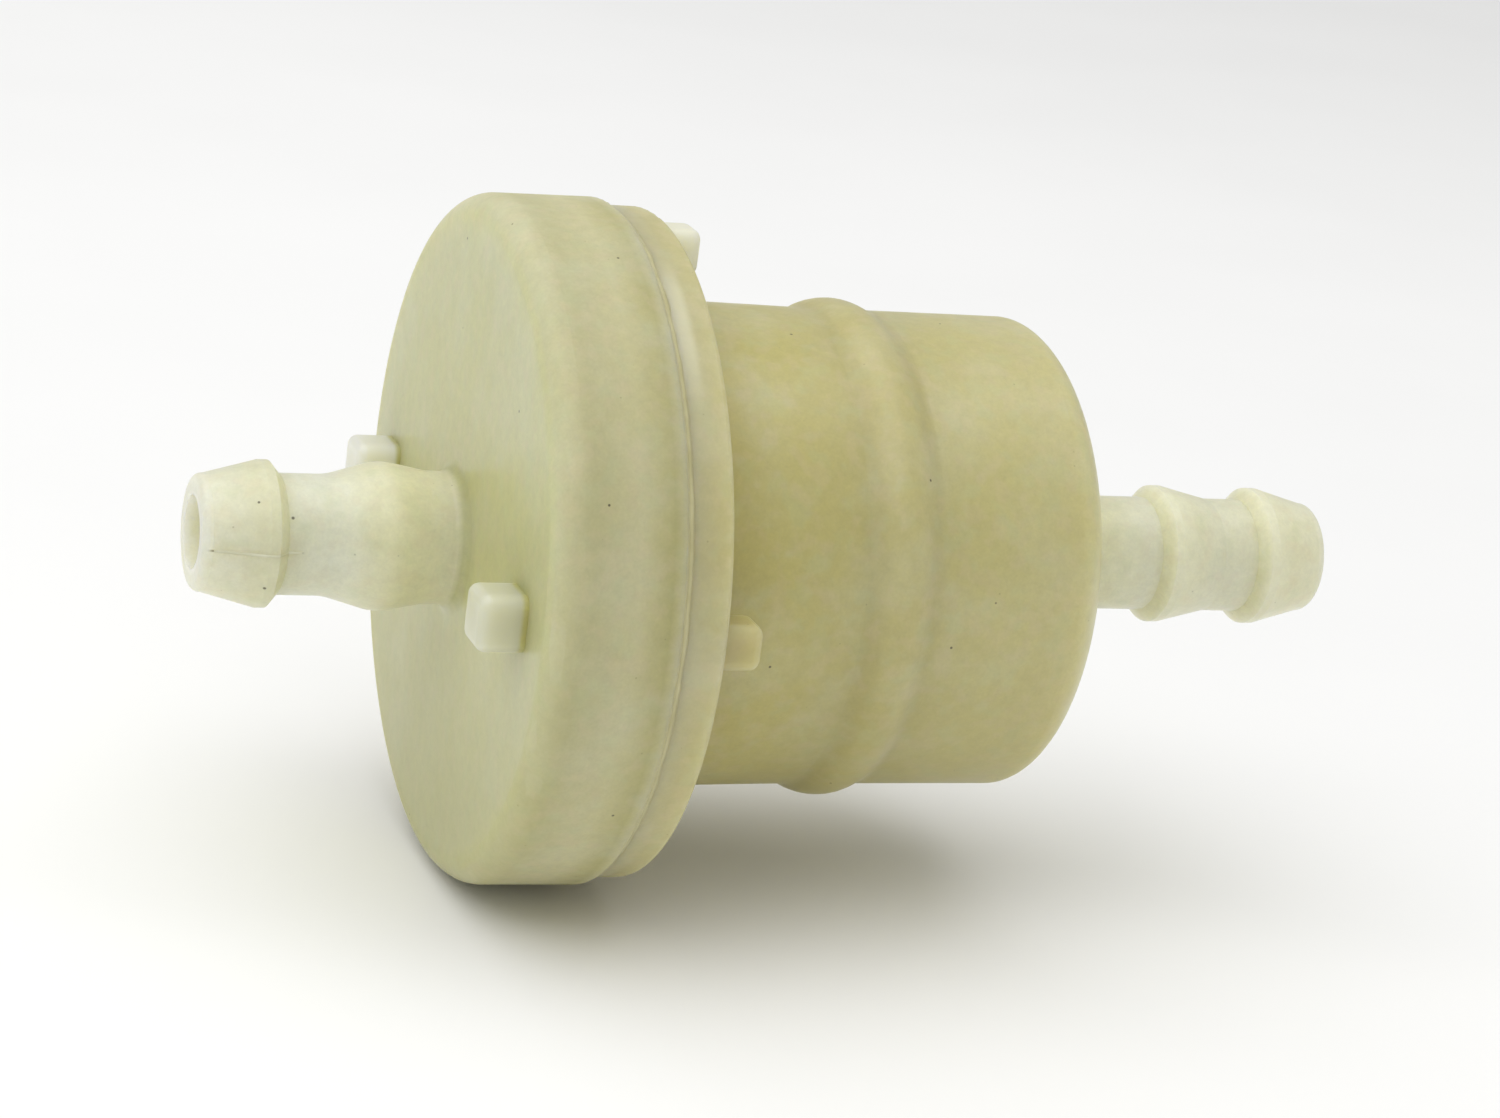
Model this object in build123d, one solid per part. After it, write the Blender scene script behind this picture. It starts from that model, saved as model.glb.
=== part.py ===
"""In-line fuel filter for small engines: a wide inlet cap spin-welded to a narrower outlet body,
with a pleated paper element inside. Millimetres; the flow axis is X, from inlet (-X) to outlet (+X).

Lengths along the axis are measured from the weld seam between cap and body. The finished pieces are
then moved so that the origin is on the flow axis, half way between the two nipple tips.
"""

import os
from math import cos, pi, sin

from build123d import *

# ---- inlet cap -------------------------------------------------------------------------------------
cap_radius = 19.0
cap_depth = 7.0            # seam to the rim of the face
cap_wall = 2.0             # skirt thickness
cap_plate = 1.6            # face thickness at the rim
cap_corner = 1.5           # rounding where the face meets the side
cap_draft = 0.08           # the cap is this much smaller in radius at the face
cap_floor_rounding = 0.8   # inside corner between face and skirt
face_crown = 0.2           # the face stands this much higher at the hub than at its rim

# ---- outlet body -----------------------------------------------------------------------------------
barrel_radius = 13.45      # plain part beyond the bead, where a holder clip can sit
barrel_length = 24.7       # seam to the start of the rounded end
barrel_draft = 0.15        # the barrel is this much larger in radius at the flange
barrel_wall = 1.55
end_crown = 2.5            # length of the rounded end
end_round = 4.8            # how far in the rounding reaches
end_inner_rounding = 1.5   # inside corner of the rounded end
seam_step = 0.4            # the flange is this much smaller in radius than the cap
flange_thickness = 2.6
bead_centre = 14.3
bead_width = 3.4
bead_height = 0.62
bead_blend = 1.5           # hollow rounding at the bead's feet

# ---- hose nipples, both ends -----------------------------------------------------------------------
shank_radius = 3.3         # suits hose of 1/4 inch bore
barb_height = 0.7
barb_land = 0.5            # short cylindrical crest
barb_back = 0.6            # length of the steep face that bites the hose
barb_taper = 2.95          # length of the lead-in towards the tip
barb_pitch = 6.2
nipple_wall = 1.3
tip_drop = 0.1             # the tip is this much slimmer than the shank
tip_length = 0.5           # straight end beyond the lead-in of the outer barb
tip_rounding = 0.45
inlet_tip = 21.5           # seam to tip
outlet_tip = 45.4          # seam to tip
inlet_root_swell = 0.35    # the nipple's root is this much thicker in radius than its shank
inlet_collar_radius = 4.15 # low cone that stops the hose short of the cap
inlet_collar_stand = 4.2   # collar crest to the face
inlet_collar_rise = 2.9    # length of the cone up to its crest
inlet_collar_fall = 2.6    # length of the slope back down
collar_blend = 3.0         # rounding where the cone leaves the shank
collar_rounding = 3.0      # rounding of the crest and of the dip behind it
inlet_root_rounding = 0.7
outlet_root_rounding = 0.5

# ---- drive lugs for spin welding -------------------------------------------------------------------
face_lug_share = 0.70      # position as a share of the cap radius
face_lug_size = 3.1
face_lug_height = 2.5
flange_lug_inset = 0.5     # from the flange edge to the lug's outer side
flange_lug_depth = 2.6
flange_lug_width = 2.5
flange_lug_height = 2.2
flange_lug_count = 4
lug_rounding = 0.65        # upright edges
lug_top_rounding = 0.55
lug_root = 0.8             # how far a lug is carried into the wall behind it

# ---- joint between cap and body --------------------------------------------------------------------
locating_ring_height = 2.4
locating_ring_wall = 1.45
slip_clearance = 0.05      # radial, between pieces that slide together
seam_chamfer = 0.2
edge_rounding = 0.3

# ---- filter element --------------------------------------------------------------------------------
flow_gap = 1.0             # between the element and the barrel wall
plate_thickness = 1.2
plate_rim_wall = 0.6
plate_rim_depth = 1.6
fin_count = 4
fin_width = 1.2
fin_root = 0.1             # how far a fin is carried into the plate rim
element_start = 3.4        # seam to the closed plate
spigot_length = 3.2
collar_wall = 1.3
adhesive_depth = 0.8
adhesive_set_back = 0.15   # between the paper's outer folds and the plate rim
core_radius = 5.2
core_wall = 0.8
core_hole_radius = 0.9
core_holes_per_row = 6
core_rows = 4
pleat_count = 24
paper_thickness = 0.35

# ---- sizes that follow -----------------------------------------------------------------------------
seam_x = (inlet_tip - outlet_tip) / 2
flange_radius = cap_radius - seam_step
skirt_bore = cap_radius - cap_wall
ring_outer = skirt_bore - slip_clearance
ring_inner = ring_outer - locating_ring_wall
cap_floor = cap_plate - cap_depth
hub_face = -cap_depth - face_crown
port_radius = shank_radius - nipple_wall
barb_radius = shank_radius + barb_height
tip_radius = shank_radius - tip_drop
inlet_root_radius = shank_radius + inlet_root_swell
bead_start = bead_centre - bead_width / 2
bead_end = bead_centre + bead_width / 2
barrel_bore = barrel_radius - barrel_wall
body_end = barrel_length + end_crown
body_floor = body_end - barrel_wall
spigot_start = body_floor - spigot_length
spigot_radius = port_radius + nipple_wall
collar_bore = spigot_radius + slip_clearance
collar_radius = collar_bore + collar_wall
plate_radius = barrel_bore - flow_gap
rim_bore = plate_radius - plate_rim_wall
media_radius = rim_bore - adhesive_set_back
open_plate_start = spigot_start - plate_thickness
closed_plate_end = element_start + plate_thickness
media_start = closed_plate_end + adhesive_depth
media_end = open_plate_start - adhesive_depth


def turned(corners):
    """Solid of revolution about X. Each corner is (length, radius) or (length, radius, rounding)."""
    face = make_face(Polyline(*[(c[0], c[1]) for c in corners], close=True))
    for corner in corners:
        if len(corner) == 3:
            near = face.vertices().sort_by_distance((corner[0], corner[1], 0))[0]
            face = fillet(near, corner[2])
    return revolve(face, Axis.X)


def ring(start, end, inner, outer):
    """Plain tube about X."""
    return turned([(start, inner), (end, inner), (end, outer), (start, outer)])


def barb(crest, way):
    """Barb outline from the body side to the tip side; way is +1 towards +X, -1 towards -X."""
    half = barb_land / 2
    return [
        (crest - way * (half + barb_back), shank_radius),
        (crest - way * half, barb_radius),
        (crest + way * half, barb_radius),
    ]


def tip(end, way):
    """Tip outline, from the end of the last barb's lead-in to the port."""
    return [
        (end - way * tip_length, tip_radius),
        (end, tip_radius, tip_rounding),
        (end, port_radius),
    ]


def lug(across, along_radius, height):
    """Block standing on the YZ plane towards +X, with rounded sides and top."""
    block = Box(height + lug_root, across, along_radius, align=(Align.MIN, Align.CENTER, Align.CENTER))
    block = fillet(block.edges().filter_by(Axis.X), lug_rounding)
    return fillet(block.faces().sort_by(Axis.X)[-1].edges(), lug_top_rounding)


def make_inlet_cap():
    crest = -inlet_tip + tip_length + barb_taper + barb_land / 2
    collar = hub_face - inlet_collar_stand
    outline = [(-inlet_tip, port_radius)]
    outline += tip(-inlet_tip, -1)[1::-1]
    outline += barb(crest, -1)[::-1]
    outline += [
        (collar - inlet_collar_rise, shank_radius, collar_blend),
        (collar, inlet_collar_radius, collar_rounding),
        (collar + inlet_collar_fall, inlet_root_radius, collar_rounding),
        (hub_face, inlet_root_radius, inlet_root_rounding),
        (-cap_depth, cap_radius - cap_draft, cap_corner),
        (0, cap_radius, seam_chamfer),
        (0, skirt_bore),
        (cap_floor, skirt_bore, cap_floor_rounding),
        (cap_floor, port_radius),
    ]
    cap = turned(outline)
    face_lug = lug(face_lug_size, face_lug_size, face_lug_height)
    distance = face_lug_share * cap_radius
    slope = face_crown / (cap_radius - cap_draft - inlet_root_radius)
    foot = -cap_depth - slope * (cap_radius - cap_draft - distance)
    for side in (0, 180):
        cap += Rot(side, 0, 0) * Pos(foot + lug_root, distance, 0) * Rot(0, 180, 0) * face_lug
    return cap


def make_outlet_body():
    outer = [
        (0, ring_outer),
        (0, flange_radius - seam_chamfer),
        (seam_chamfer, flange_radius),
        (flange_thickness, flange_radius),
        (flange_thickness, barrel_radius + barrel_draft),
        (bead_start, barrel_radius),
    ]
    bead_crest = (bead_centre, barrel_radius + bead_height)
    bead = ThreePointArc((bead_start, barrel_radius), bead_crest, (bead_end, barrel_radius))
    plain = Line((bead_end, barrel_radius), (barrel_length, barrel_radius))
    dome_centre = (barrel_length, barrel_radius - end_round)
    dome = EllipticalCenterArc(dome_centre, end_crown, end_round, 0, arc_size=90)
    crest_outer = outlet_tip - tip_length - barb_taper - barb_land / 2
    nipple = [(body_end, barrel_radius - end_round), (body_end, shank_radius)]
    for crest in (crest_outer - barb_pitch, crest_outer):
        nipple += barb(crest, 1)
        nipple.append((crest + barb_land / 2 + barb_taper, shank_radius))
    nipple[-1:] = [(p[0], p[1]) for p in tip(outlet_tip, 1)]
    inside = [
        (spigot_start, port_radius),
        (spigot_start, spigot_radius),
        (body_floor, spigot_radius),
        (body_floor, barrel_bore),
        (0, barrel_bore),
        (-locating_ring_height, ring_inner),
        (-locating_ring_height, ring_outer),
        (0, ring_outer),
    ]
    face = make_face(Polyline(*outer) + bead + plain + dome + Polyline(*nipple, *inside))
    rounded = [
        (flange_thickness, flange_radius, edge_rounding),
        (flange_thickness, barrel_radius + barrel_draft, edge_rounding),
        (bead_start, barrel_radius, bead_blend),
        (bead_end, barrel_radius, bead_blend),
        (body_end, shank_radius, outlet_root_rounding),
        (outlet_tip, tip_radius, tip_rounding),
        (body_floor, barrel_bore, end_inner_rounding),
    ]
    for length, radius, rounding in rounded:
        near = face.vertices().sort_by_distance((length, radius, 0))[0]
        face = fillet(near, rounding)
    body = revolve(face, Axis.X)
    for i in range(flange_lug_count):
        distance = flange_radius - flange_lug_inset - flange_lug_depth / 2
        block = lug(flange_lug_width, flange_lug_depth, flange_lug_height)
        body += Rot(i * 360 / flange_lug_count, 0, 0) * Pos(flange_thickness - lug_root, 0, distance) * block
    return body


def make_closed_plate():
    plate = turned([
        (element_start, 0),
        (element_start, plate_radius, edge_rounding),
        (closed_plate_end + plate_rim_depth, plate_radius),
        (closed_plate_end + plate_rim_depth, rim_bore),
        (closed_plate_end, rim_bore),
        (closed_plate_end, 0),
    ])
    fin_reach = barrel_bore - slip_clearance
    reach = ring(element_start, closed_plate_end + plate_rim_depth, plate_radius - fin_root, fin_reach)
    length = plate_thickness + plate_rim_depth
    for i in range(fin_count):
        fin = Box(length, fin_width, fin_reach, align=(Align.MIN, Align.CENTER, Align.MIN))
        plate += reach & (Rot(i * 360 / fin_count + 45, 0, 0) * Pos(element_start, 0, 0) * fin)
    return plate


def make_open_plate():
    return turned([
        (open_plate_start, port_radius),
        (open_plate_start, rim_bore),
        (open_plate_start - plate_rim_depth, rim_bore),
        (open_plate_start - plate_rim_depth, plate_radius),
        (spigot_start, plate_radius, edge_rounding),
        (spigot_start, collar_radius),
        (body_floor, collar_radius, edge_rounding),
        (body_floor, collar_bore),
        (spigot_start, collar_bore),
        (spigot_start, port_radius),
    ])


def make_core_tube():
    tube = ring(media_start, media_end, core_radius - core_wall, core_radius)
    spacing = (media_end - media_start) / core_rows
    for row in range(core_rows):
        for i in range(core_holes_per_row):
            angle = (i + row % 2 / 2) * 360 / core_holes_per_row
            hole = Cylinder(core_hole_radius, core_radius, align=(Align.CENTER, Align.CENTER, Align.MIN))
            tube -= Rot(angle, 0, 0) * Pos(media_start + (row + 0.5) * spacing, 0, core_wall) * hole
    return tube


def make_media():
    """Paper folded into a closed ring of pleats, resting on the core tube."""
    half = paper_thickness / 2
    folds = []
    for i in range(2 * pleat_count):
        radius = core_radius + half if i % 2 else media_radius - half
        angle = i * pi / pleat_count
        folds.append((radius * cos(angle), radius * sin(angle)))
    middle = make_face(Polyline(*folds, close=True))
    sheet = offset(middle, half, kind=Kind.ARC) - offset(middle, -half, kind=Kind.ARC)
    paper = extrude(sheet, media_end - media_start)
    return Pos(media_start, 0, 0) * Rot(0, 90, 0) * paper


pieces = {
    "inlet_cap": make_inlet_cap(),
    "outlet_body": make_outlet_body(),
    "closed_end_plate": make_closed_plate(),
    "closed_end_adhesive": ring(closed_plate_end, media_start, 0, rim_bore),
    "pleated_media": make_media(),
    "core_tube": make_core_tube(),
    "open_end_adhesive": ring(media_end, open_plate_start, core_radius - core_wall, rim_bore),
    "open_end_plate": make_open_plate(),
}

os.makedirs("parts", exist_ok=True)
for name, piece in pieces.items():
    export_step(Pos(seam_x, 0, 0) * piece, f"parts/{name}.step")
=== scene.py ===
"""Looks of the in-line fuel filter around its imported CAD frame. Blender 4.5, metres, the record's frame."""
import math

import bpy
from mathutils import Matrix, Vector, noise
from mathutils.bvhtree import BVHTree


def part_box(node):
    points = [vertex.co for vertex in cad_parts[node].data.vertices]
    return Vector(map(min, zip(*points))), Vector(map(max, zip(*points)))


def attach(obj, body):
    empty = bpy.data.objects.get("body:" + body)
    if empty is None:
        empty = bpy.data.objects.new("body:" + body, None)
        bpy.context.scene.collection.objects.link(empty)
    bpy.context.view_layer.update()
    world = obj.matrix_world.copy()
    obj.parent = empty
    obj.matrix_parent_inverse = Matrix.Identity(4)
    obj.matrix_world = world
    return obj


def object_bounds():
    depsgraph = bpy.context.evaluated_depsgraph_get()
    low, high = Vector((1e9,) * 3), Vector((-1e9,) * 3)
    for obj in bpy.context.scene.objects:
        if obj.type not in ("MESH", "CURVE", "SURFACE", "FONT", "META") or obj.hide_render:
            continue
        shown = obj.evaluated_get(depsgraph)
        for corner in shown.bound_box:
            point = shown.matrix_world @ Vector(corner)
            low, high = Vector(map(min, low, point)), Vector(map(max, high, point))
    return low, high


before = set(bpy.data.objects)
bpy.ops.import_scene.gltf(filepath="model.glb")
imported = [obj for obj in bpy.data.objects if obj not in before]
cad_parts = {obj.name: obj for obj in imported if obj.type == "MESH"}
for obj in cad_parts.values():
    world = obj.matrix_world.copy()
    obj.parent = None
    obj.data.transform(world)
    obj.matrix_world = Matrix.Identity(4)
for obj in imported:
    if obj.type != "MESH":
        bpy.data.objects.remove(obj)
CAD_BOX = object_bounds()
MM = 0.001

CAP_LO, CAP_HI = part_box("inlet_cap")
SEAM = CAP_HI.x                        # weld seam between cap and body, on the flow axis
CAP_RADIUS = CAP_HI.y

# ---- camera --------------------------------------------------------------------------------------
ROLL_ABOUT_AXIS = math.radians(18.0)   # the camera looks down on the part by this much
YAW = math.radians(20.59)              # the inlet end is turned towards the camera
TILT = math.radians(1.19)              # the flow axis drops to the right in the picture
DISTANCE = 211.7 * MM
ACROSS, ABOVE = -9.70 * MM, 1.03 * MM
LENS, SENSOR = 91.73, 36.0
CLIP_NEAR, CLIP_FAR = 0.01, 20.0

# ---- light ---------------------------------------------------------------------------------------
ROOM_LIGHT = 0.46
SOFTBOX_POWER = 4.3
SOFTBOX_LIFT = math.radians(64)        # above the line of sight
SOFTBOX_SIDE = math.radians(-12)       # towards the inlet end
SOFTBOX_SIZE = (1.0, 0.95)
SOFTBOX_DISTANCE = 0.6
FLOOR_GAP = 0.2 * MM
FLOOR_REACH = 4.0

# ---- surface colours, as sRGB 0-255, by place along the axis from the seam (mm) --------------------
CAP_ZONES = [
    (-9.8, (196, 196, 148)),
    (-7.1, (196, 195, 137)),
    (-7.03, (197, 197, 148)),
    (-6.8, (192, 191, 155)),
    (-6.0, (185, 182, 145)),
    (-5.0, (183, 180, 138)),
    (-2.6, (197, 192, 149)),
    (-0.8, (179, 173, 118)),
    (-0.3, (202, 194, 138)),
    # painted light: the paler colour at the seam lifts the shade in the weld's groove
    (0.0, (222, 208, 138)),
]
INLET_ZONES = [
    (-21.5, (219, 219, 199)),
    (-18.0, (216, 216, 193)),
    (-15.0, (231, 231, 206)),
    (-10.0, (232, 230, 200)),
    (-7.0, (230, 225, 190)),
]
BODY_ZONES = [
    # painted light: the paler colour at the seam lifts the shade in the weld's groove
    (0.0, (222, 208, 138)),
    (0.5, (192, 184, 132)),
    (1.3, (182, 174, 124)),
    (2.8, (177, 169, 117)),
    (4.5, (188, 178, 112)),
    (7.5, (193, 184, 119)),
    (14.3, (184, 176, 121)),
    (20.0, (196, 188, 131)),
    (24.7, (198, 190, 137)),
    (28.0, (227, 221, 166)),
    (34.0, (235, 233, 203)),
    (45.4, (223, 221, 193)),
]

# ---- colours mixed over the zones: sRGB colour, greatest share ---------------------------------------
LUG = ((196, 197, 180), 0.85)
PALE_LUG = ((224, 224, 214), 0.7)
FLANGE_LUG = ((168, 160, 118), 0.6)
# painted light on the uppermost lug, lit through from above
PAINTED_TOP_LUG_LIGHT = ((232, 230, 206), 0.85)
# painted shade towards the bottom of the face
PAINTED_FACE_SHADE = ((149, 145, 76), 0.30)
# painted shade towards the bottom of the barrel
PAINTED_BARREL_SHADE = ((150, 140, 60), 0.25)
# painted highlight on the flange's rim near the top
PAINTED_RIM_HIGHLIGHT = ((226, 221, 186), 0.5)
# painted shade on the thick barb crests
PAINTED_CREST_SHADE = ((206, 202, 158), 0.3)
# painted light inside the port
PAINTED_PORT_LIGHT = ((250, 248, 230), 0.6)
CLOUD = ((190, 183, 128), 0.16)
HAZE = ((214, 216, 198), 0.16)
PINK = ((214, 193, 166), 0.13)
GREEN = ((184, 199, 158), 0.13)
# painted highlight on convex edges
PAINTED_EDGE_HIGHLIGHT = ((222, 221, 196), 0.16)
FAINT_SPECK = ((120, 112, 78), 0.35)
DARK_SPECK = ((66, 58, 38), 0.85)
BARB_SPECK = ((66, 58, 38), 0.8)
PARTING_DASH = ((104, 98, 70), 0.7)

# ---- where they lie: each pair is where a mask begins to change and where it has changed ---------------
HUB = (-8.1, -7.7)                     # mm from the seam: the inlet nipple nears the cap's face
NIPPLE_REACH, HUB_REACH = 4.6 * MM, 3.7 * MM
SOFT_EDGE = 0.1 * MM
CREST_RADII = (3.5 * MM, 3.95 * MM)
PORT_RADII = (2.1 * MM, 2.4 * MM)
BARB_END = (-16.4, -16.0)              # mm from the seam
BARB_SKIN = (2.9 * MM, 3.1 * MM)
PARTING_WIDTH = (0.035 * MM, 0.075 * MM)
MATT_RIM_RADII = (16.8 * MM, 18.2 * MM)

# ---- milky plastic: noise scales per metre, finish and light inside it ---------------------------------
CLOUD_SCALE, HAZE_SCALE = 120, 230
GRAIN_SCALE, FINE_GRAIN_SCALE = 1500, 6500
GRAIN_FLOOR, GRAIN_DEPTH, FINE_GRAIN_DEPTH = 0.82, 0.25, 0.10
PINK_SCALE, GREEN_SCALE = 950, 780
PARTING_SCALE = 620
SATIN, SATIN_SCALE, SATIN_DEPTH = 0.25, 350, 0.14
MATT = 0.22                            # roughness added on the broad rim
BURNISH = -0.22                        # and taken away where the flange is burnished
PEEL_SCALE, PEEL_SHARE = 420, 0.7
FINE_SCALE, FINE_SHARE = 2600, 0.12
RELIEF_STRENGTH, RELIEF = 0.20, 0.12 * MM
PLASTIC_IOR = 1.49
MILK_WEIGHT, MILK_DEPTH, MILK_SPREAD = 0.9, 0.005, (1.0, 0.92, 0.62)

# ---- specks: cells per metre, speck radius, share of the cells that hold one ---------------------------
DARK_SPECKS = (420, 0.10 * MM, 0.75)
FAINT_SPECKS = (900, 0.07 * MM, 0.35)
BARB_SPECKS = (640, 0.12 * MM, 0.9)

# ---- colour pairs of the other surfaces, as sRGB 0-255 -------------------------------------------------
FLASH_COLOURS = (186, 179, 132), (200, 194, 150)
RIDGE_COLOURS = (204, 202, 172), (220, 219, 196)
PLATE_COLOURS = (190, 182, 138), (203, 196, 156)
ADHESIVE_COLOURS = (204, 188, 130), (222, 208, 158)
PAPER_COLOURS = (196, 172, 104), (226, 207, 146)
FLOOR_COLOURS = (248, 248, 247), (251, 251, 250)

# ---- moulding details ----------------------------------------------------------------------------------
FLASH_AROUND, FLASH_SECTION = 420, 10  # divisions of the weld's thread
FLASH_INSET = 0.50 * MM                # its centre, in from the cap's radius
FLASH_PAST_SEAM = 0.10 * MM
FLASH_SIZE = 0.25 * MM
FLASH_WANDER = 0.05 * MM
FLASH_WAVES = 9.0                      # the noise runs this fast along the thread
RIDGE_START = 0.55 * MM                # from the inlet's tip
RIDGE_END = -16.2                      # mm from the seam
RIDGE_HALF = 0.10 * MM
RIDGE_PROFILE = [(-1.0, -0.04), (-0.75, 0.006), (-0.3, 0.030),     # share of its half width, height in mm
                 (0.3, 0.030), (0.75, 0.006), (1.0, -0.04)]
RIDGE_STEPS = 150
RIDGE_FADE = 6                         # steps over which its ends die out
RIDGE_WAVES = 900                      # per metre
RAY_START = 6.0 * MM                   # outside the nipples, inside the lugs


def linear(colour):
    """sRGB 0-255 to a linear colour with alpha."""
    out = []
    for value in colour:
        v = value / 255
        out.append(v / 12.92 if v <= 0.04045 else ((v + 0.055) / 1.055) ** 2.4)
    return (*out, 1.0)


def at(place):
    """Place on the flow axis, from mm beyond the seam."""
    return SEAM + place * MM


def camera_axes():
    """Right, up and forward of the camera."""
    near = Vector((0, -math.cos(ROLL_ABOUT_AXIS), math.sin(ROLL_ABOUT_AXIS)))
    up = Vector((0, math.sin(ROLL_ABOUT_AXIS), math.cos(ROLL_ABOUT_AXIS)))
    along = Vector((1, 0, 0))
    right = along * math.cos(YAW) + near * math.sin(YAW)
    forward = along * math.sin(YAW) - near * math.cos(YAW)
    tilted_right = right * math.cos(TILT) + up * math.sin(TILT)
    tilted_up = -right * math.sin(TILT) + up * math.cos(TILT)
    return tilted_right, tilted_up, forward


RIGHT, UP, FORWARD = camera_axes()


def make_camera():
    data = bpy.data.cameras.new("camera")
    data.lens = LENS
    data.sensor_width = SENSOR
    data.clip_start = CLIP_NEAR
    data.clip_end = CLIP_FAR
    cam = bpy.data.objects.new("camera", data)
    bpy.context.scene.collection.objects.link(cam)
    place = Vector((SEAM, 0, 0)) - RIGHT * ACROSS - UP * ABOVE - FORWARD * DISTANCE
    turn = Matrix((RIGHT, UP, -FORWARD)).transposed()
    cam.matrix_world = Matrix.Translation(place) @ turn.to_4x4()
    bpy.context.scene.camera = cam


# ---- node helpers ----------------------------------------------------------------------------------
class Surface:
    """A material's node tree, built by small steps."""

    def __init__(self, name):
        self.material = bpy.data.materials.new(name)
        self.material.use_nodes = True
        self.tree = self.material.node_tree
        self.shader = self.tree.nodes["Principled BSDF"]
        self.place = self.tree.nodes.new("ShaderNodeTexCoord").outputs["Object"]
        split = self.tree.nodes.new("ShaderNodeSeparateXYZ")
        self.join(self.place, split.inputs[0])
        self.x, self.y, self.z = split.outputs
        self.radius = self.power(self.plus(self.times(self.y, self.y), self.times(self.z, self.z)), 0.5)

    def join(self, source, socket):
        if isinstance(source, (int, float, tuple)):
            socket.default_value = source
        else:
            self.tree.links.new(source, socket)

    def step(self, operation, *values):
        node = self.tree.nodes.new("ShaderNodeMath")
        node.operation = operation
        for value, socket in zip(values, node.inputs):
            self.join(value, socket)
        return node.outputs[0]

    def plus(self, a, b):
        return self.step("ADD", a, b)

    def times(self, a, b):
        return self.step("MULTIPLY", a, b)

    def power(self, a, b):
        return self.step("POWER", a, b)

    def ramp(self, value, low, high, to_low=0.0, to_high=1.0, smooth=True):
        """value from low..high to to_low..to_high, held at the ends."""
        node = self.tree.nodes.new("ShaderNodeMapRange")
        node.interpolation_type = "SMOOTHSTEP" if smooth else "LINEAR"
        for source, socket in zip((value, low, high, to_low, to_high), node.inputs):
            self.join(source, socket)
        return node.outputs[0]

    def mix(self, share, a, b, blend="MIX"):
        node = self.tree.nodes.new("ShaderNodeMix")
        node.data_type = "RGBA"
        node.blend_type = blend
        self.join(share, node.inputs[0])
        self.join(a, node.inputs[6])
        self.join(b, node.inputs[7])
        return node.outputs[2]

    def over(self, under, mask, colour, share):
        """A further sRGB colour over what is there already, where the mask is."""
        return self.mix(self.times(mask, share), under, linear(colour))

    def between(self, value, pair):
        """From one sRGB colour of a pair to the other."""
        return self.mix(self.ramp(value, 0.3, 0.7), linear(pair[0]), linear(pair[1]))

    def noise(self, scale, detail=2.0, stretch=(1, 1, 1), rough=0.5):
        """Fractal noise; scale is per metre, stretch multiplies the place before it is looked up."""
        node = self.tree.nodes.new("ShaderNodeTexNoise")
        node.inputs["Scale"].default_value = scale
        node.inputs["Detail"].default_value = detail
        node.inputs["Roughness"].default_value = rough
        if stretch == (1, 1, 1):
            self.join(self.place, node.inputs["Vector"])
        else:
            scaled = self.tree.nodes.new("ShaderNodeVectorMath")
            scaled.operation = "MULTIPLY"
            self.join(self.place, scaled.inputs[0])
            self.join(stretch, scaled.inputs[1])
            self.join(scaled.outputs[0], node.inputs["Vector"])
        return node.outputs[0]

    def along(self, zones):
        """Colour by place along the axis; zones are (mm from the seam, sRGB colour)."""
        first, last = zones[0][0], zones[-1][0]
        share = self.ramp(self.x, at(first), at(last), smooth=False)
        node = self.tree.nodes.new("ShaderNodeValToRGB")
        self.join(share, node.inputs[0])
        stops = node.color_ramp.elements
        while len(stops) < len(zones):
            stops.new(0.5)
        for stop, (place, _) in zip(stops, zones):
            stop.position = (place - first) / (last - first)
        for stop, (_, colour) in zip(stops, zones):
            stop.color = linear(colour)
        return node.outputs[0]

    def specks(self, scale, radius, share):
        """Mask of sparse round specks: cells per metre, speck radius in metres, share of cells with one."""
        node = self.tree.nodes.new("ShaderNodeTexVoronoi")
        node.inputs["Scale"].default_value = scale
        self.join(self.place, node.inputs["Vector"])
        inside = self.ramp(node.outputs["Distance"], radius * scale * 0.5, radius * scale, 1.0, 0.0)
        split = self.tree.nodes.new("ShaderNodeSeparateColor")
        self.join(node.outputs["Color"], split.inputs[0])
        chosen = self.step("LESS_THAN", split.outputs[0], share)
        return self.times(inside, chosen)

    def bump(self, height, strength, distance):
        node = self.tree.nodes.new("ShaderNodeBump")
        node.inputs["Strength"].default_value = strength
        node.inputs["Distance"].default_value = distance
        self.join(height, node.inputs["Height"])
        self.join(node.outputs[0], self.shader.inputs["Normal"])

    def set(self, **values):
        for name, value in values.items():
            self.join(value, self.shader.inputs[name.replace("_", " ")])


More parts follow.
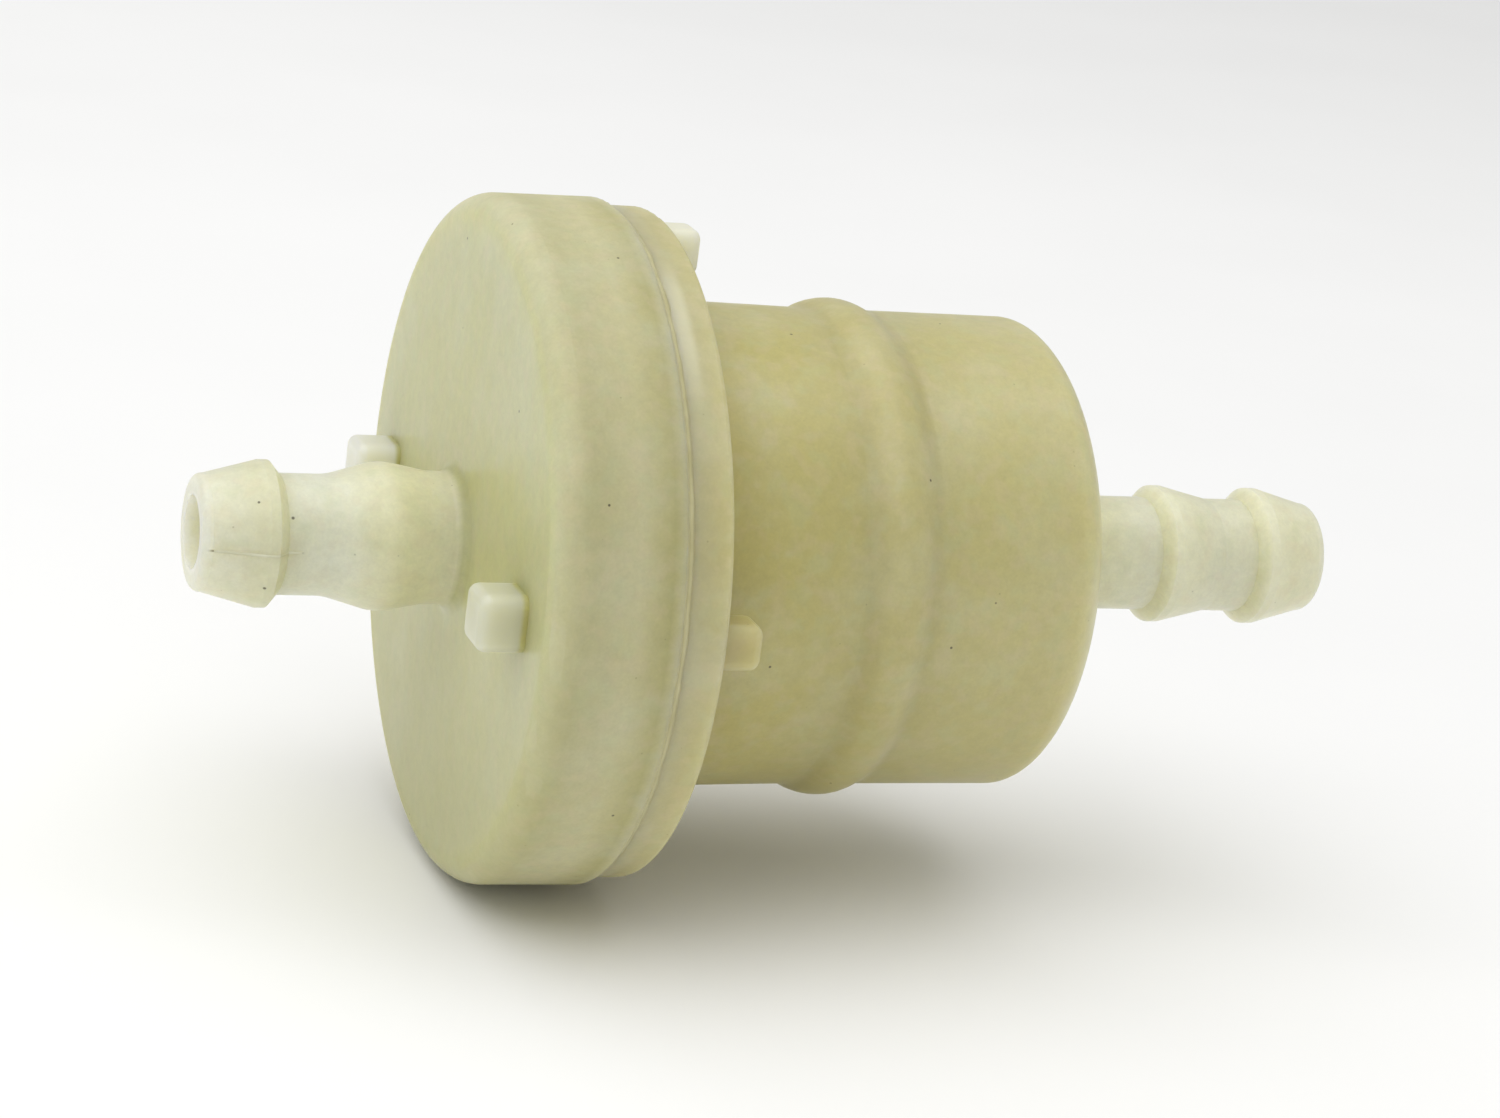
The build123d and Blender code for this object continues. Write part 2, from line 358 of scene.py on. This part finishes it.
# ---- materials -------------------------------------------------------------------------------------
def milky(name, zones, slim_zones=None):
    """Milky natural plastic: cloudy, slightly mottled, satin, with specks of dirt.

    The zones colour the broad parts, and slim_zones the nipple where it has colours of its own.
    """
    s = Surface(name)
    # the nipples are what lies near the axis, nearer still where the inlet nipple meets the face
    limit = s.ramp(s.x, at(HUB[0]), at(HUB[1]), NIPPLE_REACH, HUB_REACH)
    slim = s.ramp(s.step("SUBTRACT", s.radius, limit), -SOFT_EDGE, SOFT_EDGE, 1.0, 0.0)
    colour = s.along(zones)
    if slim_zones:
        colour = s.mix(slim, colour, s.along(slim_zones))
    # painted shade makes the thick barb crests a little darker than the shanks, and painted light makes the
    # inside of the port paler
    colour = s.over(colour, s.times(slim, s.ramp(s.radius, *CREST_RADII)), *PAINTED_CREST_SHADE)
    colour = s.over(colour, s.ramp(s.radius, *PORT_RADII, 1.0, 0.0), *PAINTED_PORT_LIGHT)
    colour = s.over(colour, s.ramp(s.noise(CLOUD_SCALE), 0.35, 0.65), *CLOUD)
    colour = s.over(colour, s.ramp(s.noise(HAZE_SCALE, 3.0), 0.40, 0.72), *HAZE)
    grain = s.plus(GRAIN_FLOOR, s.times(s.noise(GRAIN_SCALE, 3.0, rough=0.7), GRAIN_DEPTH))
    grain = s.plus(grain, s.times(s.noise(FINE_GRAIN_SCALE, 1.0), FINE_GRAIN_DEPTH))
    shade = s.tree.nodes.new("ShaderNodeCombineColor")
    for socket in shade.inputs[:3]:
        s.join(grain, socket)
    colour = s.mix(1.0, colour, shade.outputs[0], "MULTIPLY")
    # faint pink and green clouding, about a millimetre across
    colour = s.over(colour, s.ramp(s.noise(PINK_SCALE), 0.48, 0.66), *PINK)
    colour = s.over(colour, s.ramp(s.noise(GREEN_SCALE), 0.50, 0.68), *GREEN)
    # painted highlight on the convex edges, which catch light through the thin plastic
    geometry = s.tree.nodes.new("ShaderNodeNewGeometry")
    colour = s.over(colour, s.ramp(geometry.outputs["Pointiness"], 0.505, 0.56), *PAINTED_EDGE_HIGHLIGHT)
    # dirt in the grain: a few dark specks and many faint ones
    colour = s.over(colour, s.specks(*FAINT_SPECKS), *FAINT_SPECK)
    colour = s.over(colour, s.specks(*DARK_SPECKS), *DARK_SPECK)
    # the inlet barb is dirtier, and dark dashes lie here and there in the line where the mould halves met
    barb = s.times(s.ramp(s.x, at(BARB_END[0]), at(BARB_END[1]), 1.0, 0.0), s.ramp(s.radius, *BARB_SKIN))
    colour = s.over(colour, s.times(barb, s.specks(*BARB_SPECKS)), *BARB_SPECK)
    line = s.ramp(s.step("ABSOLUTE", s.z), *PARTING_WIDTH, 1.0, 0.0)
    broken = s.ramp(s.noise(PARTING_SCALE, 1.0, stretch=(1, 0, 0)), 0.52, 0.62)
    colour = s.over(colour, s.times(s.times(line, barb), broken), *PARTING_DASH)
    # the broad rim is matt, the rest is satin
    rough = s.plus(SATIN, s.times(s.noise(SATIN_SCALE, 3.0), SATIN_DEPTH))
    rough = s.plus(rough, s.times(s.ramp(s.radius, *MATT_RIM_RADII), MATT))
    s.set(Base_Color=colour, Roughness=rough, IOR=PLASTIC_IOR, Subsurface_Weight=MILK_WEIGHT,
          Subsurface_Scale=MILK_DEPTH, Subsurface_Radius=MILK_SPREAD)
    peel = s.times(s.noise(PEEL_SCALE), PEEL_SHARE)
    fine = s.times(s.noise(FINE_SCALE, 3.0, rough=0.65), FINE_SHARE)
    s.bump(s.plus(peel, fine), RELIEF_STRENGTH, RELIEF)
    return s


def lug_mask(s, inner_radius, low, high):
    """1 on the blocks beyond inner_radius, between two places along the axis; all in mm."""
    outside = s.ramp(s.radius, (inner_radius - 0.2) * MM, (inner_radius + 0.2) * MM)
    begins = s.ramp(s.x, at(low - 0.15), at(low + 0.15))
    ends = s.ramp(s.x, at(high - 0.15), at(high + 0.15), 1.0, 0.0)
    return s.times(outside, s.times(begins, ends))


def tint(s, mask, colour, share):
    """Mix a further colour over what already drives the base colour."""
    socket = s.shader.inputs["Base Color"]
    s.join(s.over(socket.links[0].from_socket, mask, colour, share), socket)


def cap_surface():
    s = milky("milky_cap", CAP_ZONES, INLET_ZONES)
    # painted shade: the face is darker and yellower towards the bottom
    front = s.ramp(s.x, at(-6.0), at(-4.6), 1.0, 0.0)
    broad = s.ramp(s.radius, 4 * MM, 6 * MM)
    low = s.ramp(s.z, -12 * MM, 13 * MM, 1.0, 0.0)
    tint(s, s.times(s.times(front, broad), low), *PAINTED_FACE_SHADE)
    lugs = lug_mask(s, 9.0, -12.0, -7.35)
    tint(s, lugs, *LUG)
    # the far one of the two lugs is painted paler
    tint(s, s.times(lugs, s.ramp(s.y, -1 * MM, 1 * MM)), *PALE_LUG)
    return s.material


def body_surface():
    s = milky("milky_body", BODY_ZONES)
    # the weld's spin has burnished the flange's rim beside the seam, and a painted highlight makes it palest
    # near the top
    rim = s.times(s.ramp(s.x, at(0.2), at(0.35)), s.ramp(s.x, at(1.0), at(1.5), 1.0, 0.0))
    under = s.shader.inputs["Roughness"].links[0].from_socket
    s.set(Roughness=s.plus(under, s.times(rim, BURNISH)))
    painted_highlight_band = s.times(s.ramp(s.z, 11 * MM, 15 * MM), s.ramp(s.z, 16.4 * MM, 17.8 * MM, 1.0, 0.0))
    # painted shade: the barrel is darker and yellower towards the bottom
    barrel = s.times(s.ramp(s.x, at(3), at(12)), s.ramp(s.radius, 6 * MM, 8 * MM))
    low = s.ramp(s.z, -12 * MM, 1 * MM, 1.0, 0.0)
    tint(s, s.times(barrel, low), *PAINTED_BARREL_SHADE)
    # painted highlight on the flange's rim near the top
    tint(s, s.times(rim, painted_highlight_band), *PAINTED_RIM_HIGHLIGHT)
    lugs = lug_mask(s, 14.2, 2.75, 7.0)
    tint(s, lugs, *FLANGE_LUG)
    # painted light: the uppermost lug is clearer and paler than the others, lit through from above
    tint(s, s.times(lugs, s.ramp(s.z, 12 * MM, 13 * MM)), *PAINTED_TOP_LUG_LIGHT)
    return s.material


def thread_surface(name, colours):
    """The same plastic as thin as a hair: weld flash and mould ridges."""
    s = Surface(name)
    s.set(Base_Color=s.between(s.noise(700, 3.0), colours), IOR=PLASTIC_IOR,
          Roughness=s.ramp(s.noise(500), 0.3, 0.7, 0.35, 0.5))
    s.bump(s.noise(1800), 0.2, 0.05 * MM)
    return s.material


def plate_surface():
    s = Surface("element_plastic")
    s.set(Base_Color=s.between(s.noise(300, 3.0), PLATE_COLOURS),
          Roughness=s.ramp(s.noise(900), 0.3, 0.7, 0.45, 0.6),
          Subsurface_Weight=0.4, Subsurface_Scale=0.001, Subsurface_Radius=(1.0, 0.9, 0.6))
    s.bump(s.noise(1400, 3.0), 0.25, 0.05 * MM)
    return s.material


def adhesive_surface():
    s = Surface("adhesive")
    ripple = s.noise(420, 3.0)
    s.set(Base_Color=s.between(ripple, ADHESIVE_COLOURS),
          Roughness=s.ramp(s.noise(260), 0.3, 0.7, 0.28, 0.45))
    s.bump(ripple, 0.35, 0.15 * MM)
    return s.material


def paper_surface():
    s = Surface("filter_paper")
    fibres = s.noise(2400, 4.0, stretch=(0.35, 1, 1), rough=0.7)
    s.set(Base_Color=s.between(fibres, PAPER_COLOURS), Roughness=s.ramp(fibres, 0.3, 0.7, 0.75, 0.92))
    s.bump(s.plus(fibres, s.times(s.noise(500), 0.6)), 0.5, 0.06 * MM)
    return s.material


def floor_surface():
    s = Surface("floor")
    s.set(Base_Color=s.between(s.noise(6), FLOOR_COLOURS),
          Roughness=s.ramp(s.noise(40), 0.3, 0.7, 0.75, 0.85))
    return s.material


# ---- moulding details -------------------------------------------------------------------------------
def link_mesh(name, verts, faces, material, smooth=True):
    mesh = bpy.data.meshes.new(name)
    mesh.from_pydata([tuple(v) for v in verts], [], faces)
    mesh.validate()
    mesh.update()
    for face in mesh.polygons:
        face.use_smooth = smooth
    mesh.materials.append(material)
    ob = bpy.data.objects.new(name, mesh)
    bpy.context.scene.collection.objects.link(ob)
    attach(ob, "root")
    return ob


def weld_flash(material):
    """Irregular thread of plastic squeezed out of the spin weld, lying in the seam's groove."""
    verts, faces = [], []
    for i in range(FLASH_AROUND):
        angle = 2 * math.pi * i / FLASH_AROUND
        out = Vector((0, math.cos(angle), math.sin(angle)))
        spot = out * FLASH_WAVES
        swell = 1 + 0.28 * noise.noise(spot) + 0.16 * noise.noise(spot * 3.1)
        wander = FLASH_WANDER * noise.noise(spot * 1.7 + Vector((5, 0, 0)))
        centre = out * (CAP_RADIUS - FLASH_INSET) + Vector((SEAM + FLASH_PAST_SEAM + wander, 0, 0))
        size = FLASH_SIZE * swell
        for j in range(FLASH_SECTION):
            turn = 2 * math.pi * j / FLASH_SECTION
            verts.append(centre + out * (math.cos(turn) * size) + Vector((math.sin(turn) * size, 0, 0)))
    for i in range(FLASH_AROUND):
        here, there = i * FLASH_SECTION, (i + 1) % FLASH_AROUND * FLASH_SECTION
        for j in range(FLASH_SECTION):
            k = (j + 1) % FLASH_SECTION
            faces.append((here + j, here + k, there + k, there + j))
    return link_mesh("weld_flash", verts, faces, material)


def outline_points(tree, start, end, out):
    """Places on the outer surface of a node along the axis, found by looking in from one side."""
    points = []
    for i in range(RIDGE_STEPS + 1):
        x = start + (end - start) * i / RIDGE_STEPS
        points.append(tree.ray_cast(Vector((x, 0, 0)) + out * RAY_START, -out, 0.1)[0])
    return points


def parting_ridge(name, node, start, end, side, material):
    """Hair-fine ridge along a nipple where the mould's slides met."""
    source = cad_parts[node]
    tree = BVHTree.FromPolygons([v.co.copy() for v in source.data.vertices],
                                [tuple(p.vertices) for p in source.data.polygons])
    out = Vector((0, side, 0))
    points = outline_points(tree, start, end, out)
    verts, faces = [], []
    n, last = len(RIDGE_PROFILE), len(points) - 1
    for i, point in enumerate(points):
        swell = 1 + 0.35 * noise.noise(Vector((point.x * RIDGE_WAVES, side * 4.0, 1.0)))
        fade = min(1.0, i / RIDGE_FADE, (last - i) / RIDGE_FADE)
        for across, height in RIDGE_PROFILE:
            lift = height * MM * (swell * fade if height > 0 else 1.0)
            verts.append(point + out * lift + Vector((0, 0, RIDGE_HALF * across)))
    for i in range(last):
        for j in range(n):
            k = (j + 1) % n
            faces.append((i * n + j, i * n + k, (i + 1) * n + k, (i + 1) * n + j))
    faces.append(tuple(range(n - 1, -1, -1)))
    faces.append(tuple(last * n + j for j in range(n)))
    return link_mesh(name, verts, faces, material, smooth=False)


# ---- stage ------------------------------------------------------------------------------------------
def make_floor():
    z = CAD_BOX[0].z - FLOOR_GAP
    r = FLOOR_REACH
    mesh = bpy.data.meshes.new("floor")
    mesh.from_pydata([(-r, -r, z), (r, -r, z), (r, r, z), (-r, r, z)], [], [(0, 1, 2, 3)])
    mesh.materials.append(floor_surface())
    ob = bpy.data.objects.new("floor", mesh)
    bpy.context.scene.collection.objects.link(ob)


def make_lights():
    data = bpy.data.lights.new("softbox", "AREA")
    data.shape = "RECTANGLE"
    data.size, data.size_y = SOFTBOX_SIZE
    data.energy = SOFTBOX_POWER
    ob = bpy.data.objects.new("softbox", data)
    bpy.context.scene.collection.objects.link(ob)
    flat = -FORWARD * math.cos(SOFTBOX_SIDE) + RIGHT * math.sin(SOFTBOX_SIDE)
    back = flat * math.cos(SOFTBOX_LIFT) + UP * math.sin(SOFTBOX_LIFT)
    across = UP.cross(back).normalized()
    ob.matrix_world = (Matrix.Translation(back * SOFTBOX_DISTANCE)
                       @ Matrix((across, back.cross(across), back)).transposed().to_4x4())
    world = bpy.data.worlds.new("room")
    world.use_nodes = True
    background = world.node_tree.nodes["Background"]
    background.inputs[0].default_value = (1.0, 1.0, 1.0, 1.0)
    background.inputs[1].default_value = ROOM_LIGHT
    bpy.context.scene.world = world


make_camera()
make_lights()
make_floor()

cap_material = cap_surface()
body_material = body_surface()
finishes = {
    "inlet_cap": cap_material,
    "outlet_body": body_material,
    "closed_end_plate": plate_surface(),
    "closed_end_adhesive": adhesive_surface(),
    "pleated_media": paper_surface(),
}
finishes["open_end_plate"] = finishes["closed_end_plate"]
finishes["core_tube"] = finishes["closed_end_plate"]
finishes["open_end_adhesive"] = finishes["closed_end_adhesive"]
for node_name, finish in finishes.items():
    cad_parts[node_name].material_slots[0].material = finish

weld_flash(thread_surface("milky_flash", FLASH_COLOURS))
ridge = thread_surface("milky_ridge", RIDGE_COLOURS)
for side_name, side in (("near", -1), ("far", 1)):
    parting_ridge(f"inlet_parting_{side_name}", "inlet_cap", CAP_LO.x + RIDGE_START, at(RIDGE_END),
                  side, ridge)

bpy.context.scene.view_settings.view_transform = "Standard"
